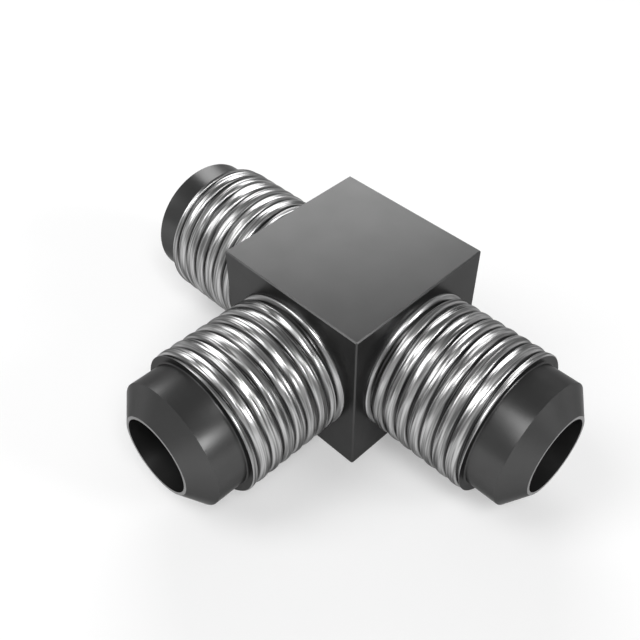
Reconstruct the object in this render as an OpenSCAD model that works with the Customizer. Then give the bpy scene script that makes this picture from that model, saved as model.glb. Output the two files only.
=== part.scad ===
// Threaded tee adapter, turned and bored from one piece of square bar.
// The run lies along X and the branch leaves along -Y. Both axes cross at the origin, which is
// the middle of the block, and the block rests on its flat underside.
// The three male ends are alike: plain collar by the block, runout groove, thread, flat shoulder,
// plain nose, blunt cone and a narrow rim around the open bore. The threaded length is plain here,
// at the thread's outer diameter.

/* [Block] */
// Width of the square bar across its flats, front to back and top to bottom
bar_w = 16.75; // [15.5:0.05:22]
// Length of the block along the run
block_l = 16.75; // [15.5:0.05:30]
// Small bevel along every edge of the block
edge_break = 0.12; // [0.05:0.01:0.3]

/* [Male ends] */
// Outer diameter of the thread
thread_d = 14.29; // [14:0.01:15]
// Length from the block's face to the shoulder: collar, runout groove and thread
thread_l = 10.9; // [6:0.1:20]
// Width of the plain collar by the block
collar_l = 0.4; // [0.2:0.02:0.8]
// Width of the groove where the thread runs out, beyond the collar
runout_l = 0.62; // [0.4:0.02:1]
// Depth of the runout groove under the thread's outer diameter
runout_depth = 0.39; // [0.2:0.01:0.8]
// Small bevel on the thread's outer edge, at the shoulder
thread_break = 0.08; // [0.04:0.01:0.2]
// Diameter of the plain nose between the shoulder and the cone
nose_d = 12.6; // [11:0.05:12.8]
// Length of the plain nose
nose_l = 3.1; // [1:0.1:8]
// Radius of the fillet between the shoulder and the nose
shoulder_fillet = 0.15; // [0.05:0.01:0.3]
// Outer diameter of the flat rim at the tip
rim_d = 8.1; // [7.8:0.05:10]
// Angle between the cone's side and its axis
cone_angle = 53; // [30:1:60]

/* [Passages] */
// Diameter of the bore that runs through from tip to tip
run_bore_d = 7.5; // [4:0.05:7.6]
// Diameter of the bore in the branch
branch_bore_d = 7.5; // [4:0.05:7.6]

/* [Hidden] */

// Facets of every round surface
$fn = 96;
// How far a drill passes beyond the tip that it enters
drill_lead = 1;
// Angle between a side of the runout groove and the plane across the axis
runout_lean = 17;

thread_r = thread_d / 2;
runout_r = thread_r - runout_depth;
nose_r = nose_d / 2;
rim_r = rim_d / 2;
// Height of the cone, from the nose to the rim
cone_l = (nose_r - rim_r) / tan(cone_angle);
// Length of a male end, from the block's face to its tip
end_l = thread_l + nose_l + cone_l;

// Rectangle with a bevel on each corner, centred
module bevelled_rectangle(width, height, bevel) {
    x = width / 2;
    y = height / 2;
    polygon([
        [x, bevel - y], [x, y - bevel], [x - bevel, y], [bevel - x, y],
        [-x, y - bevel], [-x, bevel - y], [bevel - x, -y], [x - bevel, -y]
    ]);
}

// The block: bevelled sections along Z, Y and X meet in a block with all twelve edges broken
module block() {
    intersection() {
        linear_extrude(bar_w, center = true)
            bevelled_rectangle(block_l, bar_w, edge_break);
        rotate([90, 0, 0])
            linear_extrude(bar_w, center = true)
                bevelled_rectangle(block_l, bar_w, edge_break);
        rotate([0, 90, 0])
            linear_extrude(block_l, center = true)
                bevelled_rectangle(bar_w, bar_w, edge_break);
    }
}

// What a concave fillet adds in a square corner at the origin that opens towards +X and +Y
module fillet_section(r) {
    difference() {
        square(r);
        translate([r, r]) circle(r);
    }
}

// Half section of a male end: radius along X, length along Y, with the block's face at y = 0.
// It reaches root_l into the block.
module male_end_section(root_l) {
    cone_start = thread_l + nose_l;
    thread_start = collar_l + runout_l;
    lean = runout_depth * tan(runout_lean);
    polygon([
        [0, -root_l], [thread_r, -root_l],
        [thread_r, collar_l], [runout_r, collar_l + lean],
        [runout_r, thread_start - lean], [thread_r, thread_start],
        [thread_r, thread_l - thread_break], [thread_r - thread_break, thread_l],
        [nose_r, thread_l], [nose_r, cone_start],
        [rim_r, end_l], [0, end_l]
    ]);
    translate([nose_r, thread_l]) fillet_section(shoulder_fillet);
}

// One male end, turned about Z
module male_end(root_l) {
    rotate_extrude() male_end_section(root_l);
}

// Each of these stands a child, which points along +Z from z = 0, on a face of the block
module on_right_face() {
    translate([block_l / 2, 0, 0]) rotate([0, 90, 0]) children();
}
module on_left_face() {
    translate([-block_l / 2, 0, 0]) rotate([0, -90, 0]) children();
}
module on_front_face() {
    translate([0, -bar_w / 2, 0]) rotate([90, 0, 0]) children();
}

// The bore from tip to tip of the run
module run_passage() {
    rotate([0, 90, 0])
        cylinder(h = block_l + 2 * (end_l + drill_lead), d = run_bore_d, center = true);
}

// The bore from the branch's tip to the run's axis
module branch_passage() {
    rotate([90, 0, 0])
        cylinder(h = bar_w / 2 + end_l + drill_lead, d = branch_bore_d);
}

module tee_body() {
    color("dimgray")
        difference() {
            union() {
                block();
                on_right_face() male_end(block_l / 2);
                on_left_face() male_end(block_l / 2);
                on_front_face() male_end(bar_w / 2);
            }
            run_passage();
            branch_passage();
        }
}

tee_body();
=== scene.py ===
"""Threaded tee adapter, dressed for a picture.

One piece of steel: a bored block with three turned ends in black oxide, and a bright cut thread on
each end. All sizes are in metres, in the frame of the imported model: the run lies along X, the branch
leaves along -Y, and the block rests on its flat underside.
"""
import math

import bmesh
import bpy
from bpy.props import FloatProperty, FloatVectorProperty, IntProperty, PointerProperty
from mathutils import Matrix, Vector


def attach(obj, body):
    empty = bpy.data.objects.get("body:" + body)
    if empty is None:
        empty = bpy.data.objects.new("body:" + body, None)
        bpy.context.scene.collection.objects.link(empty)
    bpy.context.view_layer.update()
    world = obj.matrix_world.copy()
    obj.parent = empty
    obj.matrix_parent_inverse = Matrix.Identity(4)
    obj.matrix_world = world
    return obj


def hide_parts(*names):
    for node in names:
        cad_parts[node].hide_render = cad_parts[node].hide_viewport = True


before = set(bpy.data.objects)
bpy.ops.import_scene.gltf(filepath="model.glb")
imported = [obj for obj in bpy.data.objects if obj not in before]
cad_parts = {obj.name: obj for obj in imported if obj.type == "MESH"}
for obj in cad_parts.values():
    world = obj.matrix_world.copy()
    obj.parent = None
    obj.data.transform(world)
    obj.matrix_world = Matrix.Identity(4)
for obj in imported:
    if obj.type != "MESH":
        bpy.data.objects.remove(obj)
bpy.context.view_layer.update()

bl_info = {
    "name": "Threaded tee adapter",
    "version": (1, 0, 0),
    "blender": (4, 5, 0),
    "location": "View3D > Sidebar > Tee adapter",
    "description": "Models a threaded tee adapter with three male ends",
    "category": "Add Mesh",
}

MM = 0.001
CAD_NODE = "tee_body"
BODY = "root"

# Outward direction of each male end, and the side of its axis where its thread starts, which is
# turned away from the front view
MALE_ENDS = {
    "right": (Vector((1, 0, 0)), Vector((0, 0, -1))),
    "left": (Vector((-1, 0, 0)), Vector((0, 0.97, -0.26))),
    "branch": (Vector((0, -1, 0)), Vector((-0.97, 0, -0.23))),
}

# Distance under which points of one mesh count as one
WELD = 2e-8
# Facets round every turned surface
FACETS = 128
# How far a cutter reaches past what it cuts
CLEAR = 1 * MM
# How near a point must be to a plane to count as on it
NEAR = 0.01 * MM
# Painted groove shade: the runout groove is shaded less than the thread, so its depth counts for this
# share in its painted shade
RUNOUT_SHADE = 0.6
# Brightness that the floor has of its own for the camera and for what mirrors it
FLOOR_GLOW = 0.34


# Sizes and colours that a user may change

def length(name, description, default):
    """A size in metres, shown in the scene's unit."""
    return FloatProperty(name=name, description=description, default=default, min=0.0,
                         unit="LENGTH", subtype="DISTANCE", precision=5)


def colour(name, description, default):
    """A colour as sRGB hex digits turned to linear."""
    return FloatVectorProperty(name=name, description=description, default=linear(default),
                               size=3, min=0.0, max=1.0, subtype="COLOR")


def linear(hex_colour):
    """sRGB hex digits, such as 7f7f7f, as linear red, green and blue."""
    parts = [int(hex_colour[i:i + 2], 16) / 255 for i in (0, 2, 4)]
    return tuple(c / 12.92 if c <= 0.04045 else ((c + 0.055) / 1.055) ** 2.4 for c in parts)


class TeeSizes(bpy.types.PropertyGroup):
    """Sizes of the block, its three male ends and the bores."""
    bar_width: length("Bar width", "Width of the square bar across its flats", 16.75 * MM)
    edge_break: length("Edge break", "Bevel along every edge of the block", 0.12 * MM)
    nose_diameter: length("Nose diameter", "Plain nose between shoulder and cone", 12.6 * MM)
    nose_length: length("Nose length", "Length of the plain nose", 3.1 * MM)
    shoulder_fillet: length("Shoulder fillet", "Fillet between shoulder and nose", 0.15 * MM)
    rim_diameter: length("Rim diameter", "Flat rim at the tip", 8.1 * MM)
    bore_diameter: length("Bore diameter", "Bores of the run and the branch", 7.5 * MM)
    cone_angle: FloatProperty(name="Cone angle", description="Cone's side to its axis",
                              default=math.radians(53), subtype="ANGLE", unit="ROTATION")


class ThreadSizes(bpy.types.PropertyGroup):
    """Sizes of the cut thread on each male end."""
    diameter: length("Outer diameter", "Diameter over the thread's crests", 14.29 * MM)
    length: length("Length", "From the block's face to the shoulder", 10.9 * MM)
    pitch: length("Pitch", "Distance from crest to crest, 18 to the inch", 25.4 / 18 * MM)
    depth: length("Depth", "Depth of the groove under the crests", 0.34 * MM)
    root_radius: length("Root radius", "Rounding at the bottom of the groove", 0.08 * MM)
    crest_radius: length("Crest radius", "Rounding of the crest's shoulders", 0.2 * MM)
    collar: length("Collar", "Width of the plain ring by the block", 0.4 * MM)
    collar_edge: length("Collar edge", "Rounding of the collar's outer edge", 0.28 * MM)
    relief: length("Relief width", "Width of the runout groove by the block", 0.62 * MM)
    relief_depth: length("Relief depth", "Depth of the runout groove", 0.39 * MM)
    start_bevel: length("Start bevel", "Bevel on the crest at the shoulder", 0.1 * MM)
    steps: IntProperty(name="Steps", description="Steps in each turn of the thread",
                       default=FACETS, min=24, max=256)


class Finishes(bpy.types.PropertyGroup):
    """Colours of the blackened steel, the cut steel, the painted shade in its grooves, and the floor.
    """
    oxide: colour("Black oxide", "Reflection of the blackened steel", "4f4f4f")
    oxide_worn: colour("Black oxide, paler", "Paler patches of the blackened steel", "585858")
    oxide_glancing: colour("Black oxide, glancing", "Tint of what it mirrors at a low angle",
                           "a6a6a6")
    steel_glancing: colour("Cut steel, glancing", "Tint of what it mirrors at a low angle",
                           "8c8c8c")
    steel: colour("Cut steel", "Reflection of the freshly cut thread", "c8c8c8")
    steel_dull: colour("Cut steel, duller", "Steel between the bright scratches", "888888")
    # Painted shade: the colour that the bottom of each groove darkens to
    root: colour("Thread root", "Steel at the bottom of the grooves", "565656")
    floor: colour("Floor", "Matt pale floor", "cccccc")


# Modelling helpers

def pick(*pieces):
    """Selects these objects alone, and makes the last one active."""
    if bpy.context.mode != "OBJECT":
        bpy.ops.object.mode_set(mode="OBJECT")
    bpy.ops.object.select_all(action="DESELECT")
    for piece in pieces:
        piece.select_set(True)
    bpy.context.view_layer.objects.active = pieces[-1]


def select_edges(piece, test):
    """Selects the edges that pass a test, of a piece in edit mode."""
    bpy.ops.mesh.select_mode(type="EDGE")
    bpy.ops.mesh.select_all(action="DESELECT")
    mesh = bmesh.from_edit_mesh(piece.data)
    found = [edge for edge in mesh.edges if test(edge)]
    for edge in found:
        edge.select_set(True)
    mesh.select_flush_mode()
    bmesh.update_edit_mesh(piece.data)
    if not found:
        raise RuntimeError(f"{piece.name}: nothing to select")


def turned(name, points, facets=FACETS):
    """A solid turned about Z: a disc at the first (radius, height), extruded point by point."""
    radius, height = points[0]
    bpy.ops.object.select_all(action="DESELECT")
    bpy.ops.mesh.primitive_circle_add(vertices=facets, radius=radius, fill_type="NGON",
                                      location=(0, 0, height))
    piece = bpy.context.object
    piece.name = name
    bpy.ops.object.mode_set(mode="EDIT")
    bpy.ops.mesh.select_all(action="SELECT")
    for next_radius, next_height in points[1:]:
        bpy.ops.mesh.extrude_region_move(
            TRANSFORM_OT_translate={"value": (0, 0, next_height - height)})
        if next_radius != radius:
            grow = next_radius / radius
            bpy.ops.transform.resize(value=(grow, grow, 1), center_override=(0, 0, next_height))
        radius, height = next_radius, next_height
    close_mesh(piece)
    return piece


def close_mesh(piece):
    """Merges doubled points, points every face outwards, and makes sure that the solid is closed."""
    pick(piece)
    bpy.ops.object.transform_apply(location=True, rotation=True, scale=True)
    bpy.ops.object.mode_set(mode="EDIT")
    bpy.ops.mesh.select_all(action="SELECT")
    bpy.ops.mesh.remove_doubles(threshold=WELD)
    bpy.ops.mesh.normals_make_consistent(inside=False)
    bpy.ops.object.mode_set(mode="OBJECT")
    mesh = bmesh.new()
    mesh.from_mesh(piece.data)
    leaks = sum(not edge.is_manifold for edge in mesh.edges)
    mesh.free()
    if leaks:
        raise RuntimeError(f"{piece.name}: {leaks} open edges")


def combine(piece, operation, *tools):
    """Joins, cuts or keeps the overlap of a piece and other solids, which are used up."""
    for tool in tools:
        pick(piece)
        step = piece.modifiers.new("combine", "BOOLEAN")
        step.operation, step.solver, step.object = operation, "EXACT", tool
        bpy.ops.object.modifier_apply(modifier=step.name)
        bpy.data.objects.remove(tool)
    return piece


def copy_of(piece, name):
    """A copy with a mesh of its own."""
    pick(piece)
    bpy.ops.object.duplicate(linked=False)
    copy = bpy.context.object
    copy.name = name
    return copy


def stand(piece, matrix):
    """Places a piece, and puts its place into its mesh."""
    pick(piece)
    piece.matrix_world = matrix
    bpy.ops.object.transform_apply(location=True, rotation=True, scale=True)
    return piece


def end_frame(outward, hidden, start):
    """Turns +Z to the outward direction and +X to the hidden side, from the block's face."""
    across = outward.cross(hidden.normalized())
    turn = Matrix((hidden.normalized(), across, outward)).transposed().to_4x4()
    return Matrix.Translation(outward * start) @ turn


def finish_piece(piece, crease_deg):
    """Smooths a finished piece up to an angle, and joins it to the body."""
    pick(piece)
    bpy.ops.object.shade_smooth_by_angle(angle=math.radians(crease_deg))
    piece.data.name = piece.name
    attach(piece, BODY)


# Materials

def add_node(material, kind, links=(), inputs=None, **settings):
    """Adds a node with its settings and input values, and links (socket, from node, output)."""
    tree = material.node_tree
    node = tree.nodes.new(kind)
    for name, value in settings.items():
        setattr(node, name, value)
    for socket, value in (inputs or {}).items():
        node.inputs[socket].default_value = value
    for socket, source, output in links:
        tree.links.new(source.outputs[output], node.inputs[socket])
    return node


def new_material(name):
    """An empty node material with its Principled shader, wired to the output."""
    material = bpy.data.materials.new(name)
    material.use_nodes = True
    material.node_tree.nodes.clear()
    shader = add_node(material, "ShaderNodeBsdfPrincipled")
    add_node(material, "ShaderNodeOutputMaterial", [("Surface", shader, "BSDF")])
    return material, shader


def link(material, source, output, target, socket):
    """Links one socket to another."""
    material.node_tree.links.new(source.outputs[output], target.inputs[socket])


def black_oxide_steel(look):
    """Turned and ground steel, blackened in a hot oxide bath: a dark satin metal."""
    material, shader = new_material("black_oxide_steel")
    shader.inputs["Metallic"].default_value = 0.85
    shader.inputs["Specular IOR Level"].default_value = 0.3
    # The crystals of the oxide scatter what bare steel would mirror at a low angle
    shader.inputs["Specular Tint"].default_value = (*look.oxide_glancing, 1)
    place = add_node(material, "ShaderNodeTexCoord")
    # The bath leaves faint cloudy patches a few millimetres across
    cloud = add_node(material, "ShaderNodeTexNoise", [("Vector", place, "Object")],
                     {"Scale": 1 / (4.0 * MM), "Detail": 3.0, "Roughness": 0.5})
    tint = add_node(material, "ShaderNodeMix", [("Factor", cloud, "Fac")], data_type="RGBA")
    tint.inputs["A"].default_value = (*look.oxide, 1)
    tint.inputs["B"].default_value = (*look.oxide_worn, 1)
    link(material, tint, "Result", shader, "Base Color")
    # The satin varies a little with the grain of the steel, 0.6 mm across
    grain = add_node(material, "ShaderNodeTexNoise", [("Vector", place, "Object")],
                     {"Scale": 1 / (0.6 * MM), "Detail": 2.0, "Roughness": 0.5})
    satin = add_node(material, "ShaderNodeMapRange", [("Value", grain, "Fac")],
                     {"To Min": 0.28, "To Max": 0.32})
    link(material, satin, "Result", shader, "Roughness")
    bump = add_node(material, "ShaderNodeBump", [("Height", grain, "Fac")],
                    {"Strength": 0.1, "Distance": 0.01 * MM})
    link(material, bump, "Normal", shader, "Normal")
    return material


def faced_rim_steel(look):
    """The tip's rim, where the black has worn to a paler satin line."""
    material, shader = new_material("faced_rim_steel")
    shader.inputs["Metallic"].default_value = 1.0
    shader.inputs["Roughness"].default_value = 0.35
    place = add_node(material, "ShaderNodeTexCoord")
    wear = add_node(material, "ShaderNodeTexNoise", [("Vector", place, "Object")],
                    {"Scale": 1 / (1.5 * MM), "Detail": 2.0})
    tint = add_node(material, "ShaderNodeMix", [("Factor", wear, "Fac")], data_type="RGBA")
    tint.inputs["A"].default_value = (*look.oxide_worn, 1)
    tint.inputs["B"].default_value = (*look.steel_dull, 1)
    link(material, tint, "Result", shader, "Base Color")
    return material


def cut_thread_steel(look):
    """Freshly cut steel, bright on the crests, with painted shade darkening the roots."""
    material, shader = new_material("cut_thread_steel")
    shader.inputs["Metallic"].default_value = 1.0
    shader.inputs["Roughness"].default_value = 0.29
    # The scratches scatter what smooth steel would mirror at a low angle
    shader.inputs["Specular Tint"].default_value = (*look.steel_glancing, 1)
    # Place on the unturned thread, with Z along its axis, and how deep in the groove
    place = add_node(material, "ShaderNodeAttribute", attribute_name="lay")
    deep = add_node(material, "ShaderNodeAttribute", attribute_name="groove")
    # The base colour darkens towards the bottom of each groove: painted shade in the roots
    shade = add_node(material, "ShaderNodeMapRange", [("Value", deep, "Fac")],
                     {"From Min": 0.3, "From Max": 0.9}, interpolation_type="SMOOTHSTEP")
    tint = add_node(material, "ShaderNodeMix", [("Factor", shade, "Result")], data_type="RGBA")
    tint.inputs["B"].default_value = (*look.root, 1)
    link(material, tint, "Result", shader, "Base Color")
    # The tool leaves shallow waves, about 6 mm along the cut and 0.6 mm across it, and fine
    # scratches along the cut. Real scratches are too fine to show, so these are 0.16 mm apart.
    normal = None
    for long_way, across, height in ((6.0, 0.6, 0.28), (4.0, 0.16, 0.05)):
        lay = add_node(material, "ShaderNodeMapping", [("Vector", place, "Vector")],
                       {"Scale": (1 / (long_way * MM), 1 / (long_way * MM), 1 / (across * MM))})
        waves = add_node(material, "ShaderNodeTexNoise", [("Vector", lay, "Vector")],
                         {"Scale": 1.0, "Detail": 0.5, "Roughness": 0.4})
        bump = add_node(material, "ShaderNodeBump", [("Height", waves, "Fac")],
                        {"Strength": 1.0, "Distance": height * MM})
        if normal:
            link(material, normal, "Normal", bump, "Normal")
        normal = bump
    link(material, normal, "Normal", shader, "Normal")
    # The scratches are paler than the steel between them
    scratch = add_node(material, "ShaderNodeMapRange", [("Value", waves, "Fac")],
                       {"From Min": 0.35, "From Max": 0.65})
    streak = add_node(material, "ShaderNodeMix", [("Factor", scratch, "Result")],
                      data_type="RGBA")
    streak.inputs["A"].default_value = (*look.steel_dull, 1)
    streak.inputs["B"].default_value = (*look.steel, 1)
    link(material, streak, "Result", tint, "A")
    return material


def matt_floor(look):
    """Matt pale card with a little glow, so that it looks white round the part."""
    material, shader = new_material("matt_floor")
    shader.inputs["Base Color"].default_value = (*look.floor, 1)
    shader.inputs["Roughness"].default_value = 0.9
    shader.inputs["Specular IOR Level"].default_value = 0.0
    shader.inputs["Emission Color"].default_value = (1, 1, 1, 1)
    path = add_node(material, "ShaderNodeLightPath")
    seen = add_node(material, "ShaderNodeMath", operation="MAXIMUM")
    link(material, path, "Is Camera Ray", seen, 0)
    link(material, path, "Is Glossy Ray", seen, 1)
    shown = add_node(material, "ShaderNodeMath", [(0, seen, "Value")], operation="MAXIMUM")
    link(material, path, "Is Transmission Ray", shown, 1)
    glow = add_node(material, "ShaderNodeMath", [(0, shown, "Value")], {1: FLOOR_GLOW},
                    operation="MULTIPLY")
    link(material, glow, "Value", shader, "Emission Strength")
    return material


# Operators

class TEE_OT_bored_block(bpy.types.Operator):
    """Model the block with its three turned ends and its crossing bores"""
    bl_idname = "tee_adapter.bored_block"
    bl_label = "Bored block with turned ends"

    def execute(self, context):
        tee, thread = context.scene.tee_sizes, context.scene.tee_thread
        half = tee.bar_width / 2
        bpy.ops.object.select_all(action="DESELECT")
        bpy.ops.mesh.primitive_cube_add(size=tee.bar_width, location=(0, 0, 0))
        block = context.object
        block.name = "bored_block"
        bpy.ops.object.mode_set(mode="EDIT")
        bpy.ops.mesh.select_all(action="SELECT")
        bpy.ops.mesh.bevel(offset=tee.edge_break, segments=1, affect="EDGES")
        close_mesh(block)

        nose_r, rim_r = tee.nose_diameter / 2, tee.rim_diameter / 2
        fillet = tee.shoulder_fillet
        cone_start = thread.length + tee.nose_length
        cone_length = (nose_r - rim_r) / math.tan(tee.cone_angle)
        sink = half / 4
        outline = [(nose_r, -sink), (nose_r, thread.length), (nose_r + fillet, thread.length)]
        for degrees in (30, 60, 90):
            turn = math.radians(degrees)
            outline.append((nose_r + fillet * (1 - math.sin(turn)),
                            thread.length + fillet * (1 - math.cos(turn))))
        outline += [(nose_r, cone_start), (rim_r, cone_start + cone_length)]
        one_end = turned("turned_end", outline)
        for name, (outward, hidden) in MALE_ENDS.items():
            end = copy_of(one_end, name + "_end")
            stand(end, end_frame(outward, hidden, half))
            combine(block, "UNION", end)
        bpy.data.objects.remove(one_end)

        tip = half + cone_start + cone_length
        bore_r, reach = tee.bore_diameter / 2, tip + CLEAR
        run_drill = turned("run_drill", [(bore_r, -reach), (bore_r, reach)])
        stand(run_drill, Matrix.Rotation(math.pi / 2, 4, "Y"))
        branch_drill = turned("branch_drill", [(bore_r, 0), (bore_r, reach)])
        stand(branch_drill, Matrix.Rotation(math.pi / 2, 4, "X"))
        combine(block, "DIFFERENCE", run_drill, branch_drill)
        close_mesh(block)

        block.data.materials.clear()
        block.data.materials.append(black_oxide_steel(context.scene.tee_finishes))
        block.data.materials.append(faced_rim_steel(context.scene.tee_finishes))
        for face in block.data.polygons:
            at_rim = max(abs(face.center.x), abs(face.center.y)) > tip - NEAR
            face.material_index = 1 if at_rim else 0
        finish_piece(block, 20)
        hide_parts(CAD_NODE)
        return {"FINISHED"}


class TEE_OT_threads(bpy.types.Operator):
    """Model the cut thread once, and stand a copy of it on each male end"""
    bl_idname = "tee_adapter.threads"
    bl_label = "Threads"

    def execute(self, context):
        tee, thread = context.scene.tee_sizes, context.scene.tee_thread
        look = context.scene.tee_finishes
        outer, inner = thread.diameter / 2, tee.nose_diameter / 2 - 0.05 * MM
        helix = self.helix(context, thread, outer)

        # The envelope trims the thread: a flank by the block, a bevel at the shoulder. Its foot lies
        # a little under the thread's root, and its rim a little outside the crests.
        rim, foot = 0.05 * MM, outer - thread.depth * 1.05
        bevel, lean = thread.start_bevel, thread.depth * 0.35
        mouth, far = thread.collar, thread.collar + thread.relief
        envelope = turned("envelope", [
            (foot, far - lean), (outer + rim, far + rim),
            (outer + rim, thread.length - bevel - rim), (outer - bevel, thread.length)])
        combine(helix, "INTERSECT", envelope)

        # The thread runs out into a plain groove, with a plain collar between it and the block. The
        # collar is sunk into the block's face, so that no gap shows.
        edge, root, sink = thread.collar_edge, outer - thread.relief_depth, 0.02 * MM
        outline = [(outer, -sink)]
        for degrees in (0, 20, 40, 60):
            turn = math.radians(degrees)
            outline.append((outer - edge * (1 - math.cos(turn)),
                            mouth - edge * (1 - math.sin(turn))))
        outline += [(root, mouth + lean), (root, far + thread.pitch)]
        collar = turned("collar", outline)
        combine(helix, "UNION", collar)
        # The hole is a little narrower than the turned end inside it, which also leaves no gap
        hole = turned("hole", [(inner, -CLEAR), (inner, thread.length + CLEAR)])
        combine(helix, "DIFFERENCE", hole)
        close_mesh(helix)

        self.mark_lay(helix, thread)
        helix.data.materials.clear()
        helix.data.materials.append(cut_thread_steel(look))
        helix.data.materials.append(bpy.data.materials["black_oxide_steel"])
        for face in helix.data.polygons:
            at_shoulder = face.center.z > thread.length - NEAR and face.normal.z > 0.99
            face.material_index = 1 if at_shoulder else 0

        for name, (outward, hidden) in MALE_ENDS.items():
            piece = copy_of(helix, name + "_thread")
            stand(piece, end_frame(outward, hidden, tee.bar_width / 2))
            finish_piece(piece, 28)
        bpy.data.objects.remove(helix)
        return {"FINISHED"}

    def profile(self, thread, outer):
        """Height and radius of each point of one pitch, from one groove's middle to the next."""
        root_r, edge_r = thread.root_radius, thread.crest_radius
        flank, crown = math.radians(60), math.radians(20)
        # What is left of half a pitch beside the root, the flank and the crest's shoulder
        # is the crest's shallow crown
        root_rise = root_r * (1 - math.cos(flank))
        edge_rise = edge_r * (math.cos(crown) - math.cos(flank))
        crown_r = ((thread.pitch / 2 - root_r * math.sin(flank)
                    - (thread.depth - root_rise - edge_rise) / math.tan(flank)
                    - edge_r * (math.sin(flank) - math.sin(crown)))
                   / (math.sin(crown) - (1 - math.cos(crown)) / math.tan(flank)))
        points = []
        for degrees in (0, 20, 40, 60):
            turn = math.radians(degrees)
            points.append((root_r * math.sin(turn),
                           outer - thread.depth + root_r * (1 - math.cos(turn))))
        middle, edge_lift = thread.pitch / 2, (crown_r - edge_r) * math.cos(crown)
        for degrees in (60, 47, 34, 20):
            turn = math.radians(degrees)
            points.append((middle - (crown_r - edge_r) * math.sin(crown)
                           - edge_r * math.sin(turn),
                           outer - crown_r + edge_lift + edge_r * math.cos(turn)))
        for degrees in (15, 10, 5):
            turn = math.radians(degrees)
            points.append((middle - crown_r * math.sin(turn),
                           outer - crown_r * (1 - math.cos(turn))))
        mirrored = [(thread.pitch - height, radius) for height, radius in reversed(points)]
        return points + [(middle, outer)] + mirrored

    def helix(self, context, thread, outer):
        """The threaded rod: one pitch of the profile, screwed about Z into a right-hand thread."""
        # A groove meets the shoulder on the +X side. The rod has two turns too many at each end,
        # so that its ragged ends are cut off.
        turns = math.ceil(thread.length / thread.pitch)
        first = thread.length - (turns + 2) * thread.pitch
        points = self.profile(thread, outer)
        height, radius = points[0]
        bpy.ops.object.select_all(action="DESELECT")
        bpy.ops.mesh.primitive_plane_add(size=thread.pitch, location=(radius, 0, first + height))
        rod = context.object
        rod.name = "threaded_rod"
        bpy.ops.object.mode_set(mode="EDIT")
        bpy.ops.mesh.select_mode(type="VERT")
        bpy.ops.mesh.select_all(action="SELECT")
        bpy.ops.mesh.merge(type="CENTER")
        for next_height, next_radius in points[1:]:
            bpy.ops.mesh.extrude_region_move(TRANSFORM_OT_translate={
                "value": (next_radius - radius, 0, next_height - height)})
            height, radius = next_height, next_radius
        bpy.ops.object.mode_set(mode="OBJECT")
        bpy.ops.object.transform_apply(location=True, rotation=True, scale=True)
        screw = rod.modifiers.new("thread", "SCREW")
        screw.axis, screw.angle, screw.screw_offset = "Z", math.tau, thread.pitch
        screw.iterations = turns + 4
        screw.steps = screw.render_steps = thread.steps
        screw.use_merge_vertices, screw.merge_threshold = True, WELD
        bpy.ops.object.modifier_apply(modifier=screw.name)
        margin = 0.5 * MM
        bpy.ops.object.mode_set(mode="EDIT")
        for height, side in ((-margin, -1), (thread.length + margin, 1)):
            bpy.ops.mesh.select_all(action="SELECT")
            bpy.ops.mesh.bisect(plane_co=(0, 0, height), plane_no=(0, 0, side),
                                clear_outer=True, threshold=WELD)
            select_edges(rod, lambda edge: edge.is_boundary and all(
                abs(point.co.z - height) < NEAR for point in edge.verts))
            bpy.ops.mesh.edge_face_add()
        close_mesh(rod)
        return rod

    def mark_lay(self, piece, thread):
        """Keeps each point's place on the unturned thread, and how deep it lies in a groove, for the
        painted groove shade.
        """
        points = piece.data.vertices
        outer, thread_start = thread.diameter / 2, thread.collar + thread.relief
        lay = piece.data.attributes.new("lay", "FLOAT_VECTOR", "POINT")
        lay.data.foreach_set("vector", [c for point in points for c in point.co])
        # How deep each point lies in a groove sets the painted shade in the roots
        groove = piece.data.attributes.new("groove", "FLOAT", "POINT")
        groove.data.foreach_set("value", [
            (outer - point.co.xy.length) / thread.depth
            * (RUNOUT_SHADE if point.co.z < thread_start else 1) for point in points])


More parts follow.
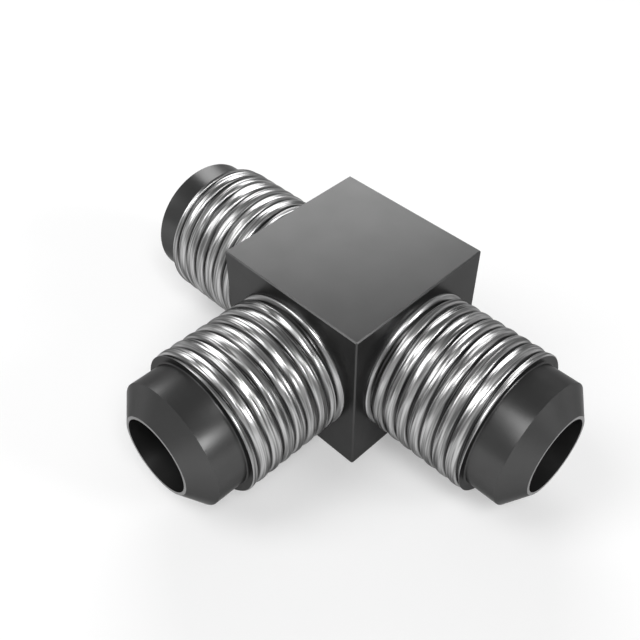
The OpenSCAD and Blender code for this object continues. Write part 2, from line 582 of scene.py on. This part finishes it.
class TEE_OT_stage(bpy.types.Operator):
    """Set the floor, the lamps and the camera"""
    bl_idname = "tee_adapter.stage"
    bl_label = "Floor, lamps and camera"

    def execute(self, context):
        scene = context.scene
        self.floor(context, scene.tee_sizes.bar_width / 2)
        # Soft lamps round the part: bearing from -Y towards +X and elevation in degrees, distance,
        # width and height in metres, and radiance
        for name, bearing, rise, distance, width, height, radiance in (
                ("lamp_behind", -131, 28, 0.36, 0.25, 0.17, 5.3),
                ("lamp_right", 111, 27, 0.36, 0.09, 0.09, 12.5),
                ("lamp_left", -33, 51, 0.36, 0.15, 0.26, 4.6),
                ("lamp_front", 60, 56, 0.40, 0.13, 0.12, 13.0)):
            turn, lift = math.radians(bearing), math.radians(rise)
            toward = Vector((math.sin(turn) * math.cos(lift), -math.cos(turn) * math.cos(lift),
                             math.sin(lift)))
            bpy.ops.object.select_all(action="DESELECT")
            bpy.ops.object.light_add(type="AREA", location=toward * distance,
                                     rotation=toward.to_track_quat("Z", "Y").to_euler())
            lamp = context.object
            lamp.name, lamp.data.shape = name, "RECTANGLE"
            lamp.data.size, lamp.data.size_y = width, height
            lamp.data.energy = radiance * math.pi * width * height
            lamp.visible_camera = False
        world = bpy.data.worlds.new("soft_daylight")
        world.use_nodes = True
        sky = world.node_tree.nodes["Background"]
        sky.inputs["Color"].default_value = (1, 1, 1, 1)
        sky.inputs["Strength"].default_value = 0.2
        scene.world = world
        scene.view_settings.view_transform = "Standard"
        self.camera(context)
        return {"FINISHED"}

    def floor(self, context, drop):
        """A wide floor that rises to a wall all round, as a curved backdrop does."""
        middle, reach, wall, bend = 0.05, 1.2, 0.7, 0.25
        outline = [(middle, 0.0), (reach - bend, 0.0)]
        for degrees in range(15, 91, 15):
            turn = math.radians(degrees)
            outline.append((reach - bend + bend * math.sin(turn), bend * (1 - math.cos(turn))))
        outline.append((reach, wall))
        bpy.ops.object.select_all(action="DESELECT")
        bpy.ops.mesh.primitive_circle_add(vertices=96, radius=middle, location=(0, 0, -drop))
        floor = context.object
        floor.name = "floor"
        bpy.ops.object.mode_set(mode="EDIT")
        bpy.ops.mesh.select_all(action="SELECT")
        radius, height = outline[0]
        for next_radius, next_height in outline[1:]:
            bpy.ops.mesh.extrude_region_move(
                TRANSFORM_OT_translate={"value": (0, 0, next_height - height)})
            grow = next_radius / radius
            bpy.ops.transform.resize(value=(grow, grow, 1),
                                     center_override=(0, 0, next_height - drop))
            radius, height = next_radius, next_height
        inner = middle + 1 * MM
        select_edges(floor, lambda edge: all(point.co.xy.length < inner for point in edge.verts))
        bpy.ops.mesh.edge_face_add()
        bpy.ops.mesh.select_all(action="SELECT")
        bpy.ops.mesh.normals_make_consistent(inside=False)
        bpy.ops.object.mode_set(mode="OBJECT")
        bpy.ops.object.transform_apply(location=True, rotation=True, scale=True)
        bpy.ops.object.shade_smooth_by_angle(angle=math.radians(30))
        floor.data.materials.append(matt_floor(context.scene.tee_finishes))

    def camera(self, context):
        """The front view: from the right, in front and above."""
        bpy.ops.object.camera_add(location=(0.040566, -0.044637, 0.059589))
        camera = context.object
        camera.name = "camera"
        # What points to the right in the picture, and what points from the part to the camera
        right = Vector((0.7063957, 0.7078138, -0.0021731))
        back = Vector((0.5016246, -0.4984488, 0.7070513))
        camera.rotation_euler = Matrix((right, back.cross(right), back)).transposed().to_euler()
        camera.data.sensor_width, camera.data.lens = 36.0, 48.1
        camera.data.clip_start, camera.data.clip_end = 0.001, 10.0
        context.scene.camera = camera


class TEE_PT_panel(bpy.types.Panel):
    """Lists the sizes, the finishes and the steps of the tee adapter"""
    bl_label = "Tee adapter"
    bl_idname = "TEE_PT_panel"
    bl_space_type = "VIEW_3D"
    bl_region_type = "UI"
    bl_category = "Tee adapter"

    def draw(self, context):
        for group in (context.scene.tee_sizes, context.scene.tee_thread,
                      context.scene.tee_finishes):
            for name in group.__annotations__:
                self.layout.prop(group, name)
        for step in STEPS:
            self.layout.operator(step.bl_idname)


# The steps in the order in which they run
STEPS = (TEE_OT_bored_block, TEE_OT_threads, TEE_OT_stage)
GROUPS = {"tee_sizes": TeeSizes, "tee_thread": ThreadSizes, "tee_finishes": Finishes}


def register():
    for group in GROUPS.values():
        bpy.utils.register_class(group)
    for name, group in GROUPS.items():
        setattr(bpy.types.Scene, name, PointerProperty(type=group))
    for step in STEPS:
        bpy.utils.register_class(step)
    bpy.utils.register_class(TEE_PT_panel)


def unregister():
    bpy.utils.unregister_class(TEE_PT_panel)
    for step in reversed(STEPS):
        bpy.utils.unregister_class(step)
    for name, group in reversed(GROUPS.items()):
        delattr(bpy.types.Scene, name)
        bpy.utils.unregister_class(group)


def main():
    register()
    bpy.ops.tee_adapter.bored_block()
    bpy.ops.tee_adapter.threads()
    bpy.ops.tee_adapter.stage()


if __name__ == "__main__":
    main()
